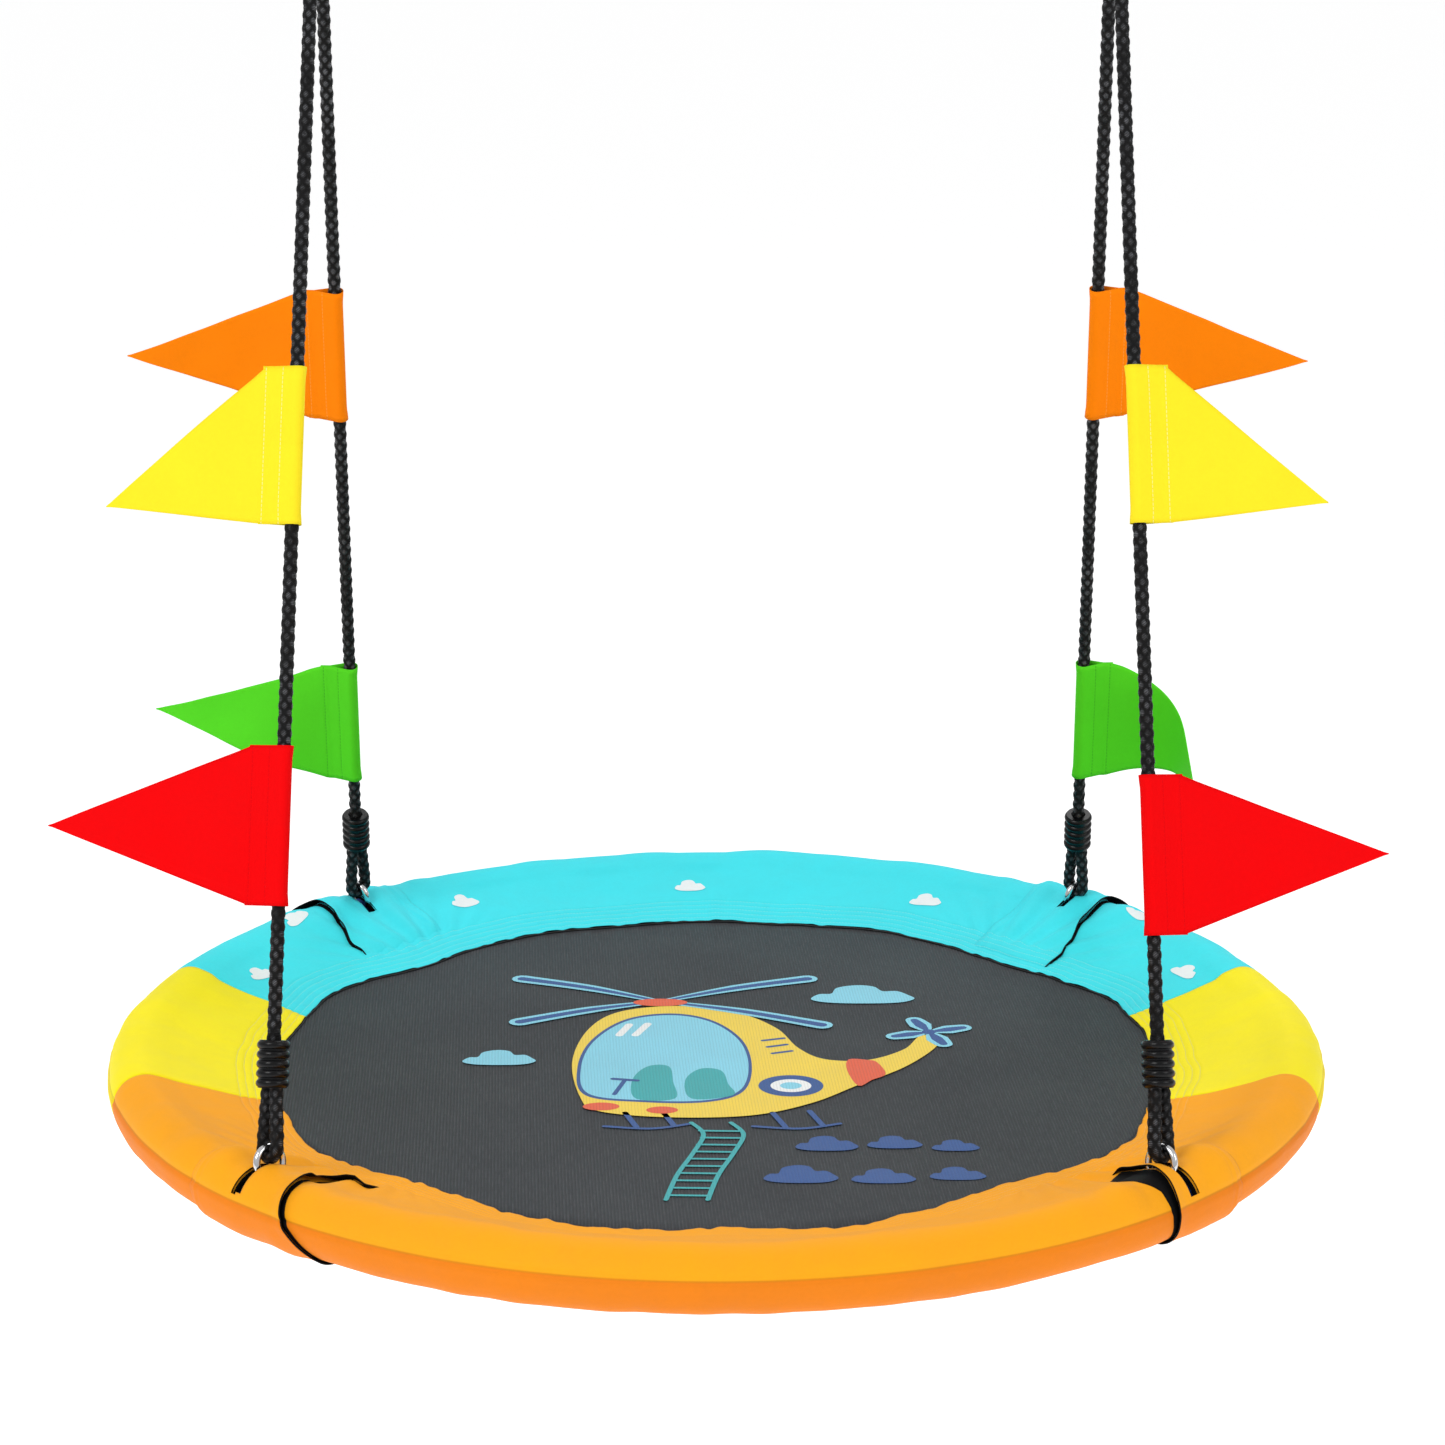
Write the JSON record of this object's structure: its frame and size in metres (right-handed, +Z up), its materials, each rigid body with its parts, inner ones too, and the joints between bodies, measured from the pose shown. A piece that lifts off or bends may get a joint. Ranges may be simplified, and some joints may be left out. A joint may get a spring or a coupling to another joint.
{
  "type": "saucer swing",
  "caption": "Round padded platform swing with a woven mat in a cloth-covered ring, hung by braided ropes with clamps and pennants from two screw-lock snap hooks.",
  "frame": {"origin": "midway between the two hooks, level with the inside top of their wide bows, where the straps bear", "axes": "+Z up, +X from the left hook to the right hook, +Y towards the back of the seat"},
  "size_m": [1.016, 1.0158, 1.1304],
  "materials": {
    "painted_steel": "satin",
    "plain_steel": "satin",
    "zinc_screws": "satin",
    "foam": "matte",
    "orange_cover": "matte",
    "turquoise_cover": "matte",
    "yellow_cover": "matte",
    "woven_mat": "matte",
    "black_thread": "matte",
    "blue_webbing": "matte",
    "chromed_steel": "polished",
    "knurled_steel": "matte",
    "spring_steel": "satin",
    "braided_rope": "satin",
    "clamp_plastic": "gloss",
    "orange_flag": "satin",
    "yellow_flag": "satin",
    "green_flag": "satin",
    "red_flag": "satin"
  },
  "bodies": {
    "hooks": {"hook_left": "chromed_steel", "hook_right": "chromed_steel", "gate_pins": "chromed_steel"},
    "gate_left": {"gate_left": "chromed_steel", "gate_spring_left": "spring_steel"},
    "gate_right": {"gate_right": "chromed_steel", "gate_spring_right": "spring_steel"},
    "lock_sleeve_left": {"lock_sleeve_left": "knurled_steel"},
    "lock_sleeve_right": {"lock_sleeve_right": "knurled_steel"},
    "top_rings": {"top_ring_left": "chromed_steel", "top_ring_right": "chromed_steel"},
    "left_ropes": {"rope_front_left": "braided_rope", "rope_back_left": "braided_rope", "lower_clamp_front_left": "clamp_plastic", "lower_clamp_back_left": "clamp_plastic", "upper_clamp_front_left": "clamp_plastic", "upper_clamp_back_left": "clamp_plastic"},
    "right_ropes": {"rope_front_right": "braided_rope", "rope_back_right": "braided_rope", "lower_clamp_front_right": "clamp_plastic", "lower_clamp_back_right": "clamp_plastic", "upper_clamp_front_right": "clamp_plastic", "upper_clamp_back_right": "clamp_plastic"},
    "seat": {"frame_tube_front_left": "painted_steel", "frame_tube_front_right": "painted_steel", "frame_tube_back_right": "painted_steel", "frame_tube_back_left": "painted_steel", "tube_joiners": "plain_steel", "joint_screws": "zinc_screws", "foam_front": "foam", "foam_right": "foam", "foam_back": "foam", "foam_left": "foam", "cover_front": "orange_cover", "cover_right": "yellow_cover", "cover_back": "turquoise_cover", "cover_left": "yellow_cover", "band_front_left": "orange_cover", "band_front_right": "orange_cover", "band_back_left": "turquoise_cover", "band_back_right": "turquoise_cover", "seat_mat": "woven_mat", "mat_edging": "black_thread", "strap_front_left": "blue_webbing", "strap_front_right": "blue_webbing", "strap_back_left": "blue_webbing", "strap_back_right": "blue_webbing", "seat_ring_front_left": "chromed_steel", "seat_ring_front_right": "chromed_steel", "seat_ring_back_left": "chromed_steel", "seat_ring_back_right": "chromed_steel"},
    "flag_upper_back_left": {"flag_upper_back_left": "orange_flag"},
    "flag_upper_back_right": {"flag_upper_back_right": "orange_flag"},
    "flag_upper_front_left": {"flag_upper_front_left": "yellow_flag"},
    "flag_upper_front_right": {"flag_upper_front_right": "yellow_flag"},
    "flag_lower_back_left": {"flag_lower_back_left": "green_flag"},
    "flag_lower_back_right": {"flag_lower_back_right": "green_flag"},
    "flag_lower_front_left": {"flag_lower_front_left": "red_flag"},
    "flag_lower_front_right": {"flag_lower_front_right": "red_flag"}
  },
  "joints": [
    {"name": "swing_fore_aft", "type": "hinge", "parent": "hooks", "child": "top_rings", "pos_m": [0, 0, -0.076], "axis": [1, 0, 0], "range_deg": [-40, 40]},
    {"name": "sway_left_ropes", "type": "hinge", "parent": "top_rings", "child": "left_ropes", "pos_m": [-0.31067, 0, -0.11874], "axis": [0, 1, 0], "range_deg": [-7, 7]},
    {"name": "sway_right_ropes", "type": "hinge", "parent": "top_rings", "child": "right_ropes", "pos_m": [0.31067, 0, -0.11874], "axis": [0, 1, 0], "range_deg": [-7.5, 7.5]},
    {"name": "seat_stays_level", "type": "hinge", "parent": "left_ropes", "child": "seat", "pos_m": [-0.3357, 0, -1.05436], "axis": [0, 1, 0], "range_deg": [-7.5, 7.5]},
    {"name": "gate_hinge_left", "type": "hinge", "parent": "hooks", "child": "gate_left", "pos_m": [-0.32176, 0, -0.05745], "axis": [0, 1, 0], "range_deg": [0, 25], "stiffness_Nm_per_rad": 0.06, "springref_deg": -20.05},
    {"name": "lock_sleeve_slide_left", "type": "slide", "parent": "gate_left", "child": "lock_sleeve_left", "axis": [-0.1471, 0, 0.9891], "range_m": [0, 0.009]},
    {"name": "gate_hinge_right", "type": "hinge", "parent": "hooks", "child": "gate_right", "pos_m": [0.32176, 0, -0.05745], "axis": [0, -1, 0], "range_deg": [0, 25], "stiffness_Nm_per_rad": 0.06, "springref_deg": -20.05},
    {"name": "lock_sleeve_slide_right", "type": "slide", "parent": "gate_right", "child": "lock_sleeve_right", "axis": [0.1471, 0, 0.9891], "range_m": [0, 0.009]},
    {"name": "flag_turn_upper_back_left", "type": "hinge", "parent": "left_ropes", "child": "flag_upper_back_left", "pos_m": [-0.32164, 0.15037, -0.5287], "axis": [0.0253, -0.3266, 0.9448], "range_deg": [-40, 40]},
    {"name": "flag_turn_upper_back_right", "type": "hinge", "parent": "right_ropes", "child": "flag_upper_back_right", "pos_m": [0.32158, 0.14968, -0.5267], "axis": [-0.0253, -0.3266, 0.9448], "range_deg": [-40, 40]},
    {"name": "flag_turn_upper_front_left", "type": "hinge", "parent": "left_ropes", "child": "flag_upper_front_left", "pos_m": [-0.32222, -0.15798, -0.5507], "axis": [0.0253, 0.3266, 0.9448], "range_deg": [-40, 40]},
    {"name": "flag_turn_upper_front_right", "type": "hinge", "parent": "right_ropes", "child": "flag_upper_front_right", "pos_m": [0.3222, -0.15763, -0.5497], "axis": [-0.0253, 0.3266, 0.9448], "range_deg": [-40, 40]},
    {"name": "flag_turn_lower_back_left", "type": "hinge", "parent": "left_ropes", "child": "flag_lower_back_left", "pos_m": [-0.3311, 0.27274, -0.8827], "axis": [0.0253, -0.3266, 0.9448], "range_deg": [-40, 40]},
    {"name": "flag_turn_lower_back_right", "type": "hinge", "parent": "right_ropes", "child": "flag_lower_back_right", "pos_m": [0.33102, 0.2717, -0.8797], "axis": [-0.0253, -0.3266, 0.9448], "range_deg": [-40, 40]},
    {"name": "flag_turn_lower_front_left", "type": "hinge", "parent": "left_ropes", "child": "flag_lower_front_left", "pos_m": [-0.32958, -0.25304, -0.8257], "axis": [0.0253, 0.3266, 0.9448], "range_deg": [-40, 40]},
    {"name": "flag_turn_lower_front_right", "type": "hinge", "parent": "right_ropes", "child": "flag_lower_front_right", "pos_m": [0.33014, -0.2603, -0.8467], "axis": [-0.0253, 0.3266, 0.9448], "range_deg": [-40, 40]}
  ],
  "couplings": [
    {"joint": "sway_right_ropes", "follows": "sway_left_ropes", "ratio": 1},
    {"joint": "seat_stays_level", "follows": "sway_left_ropes", "ratio": -0.925}
  ]
}
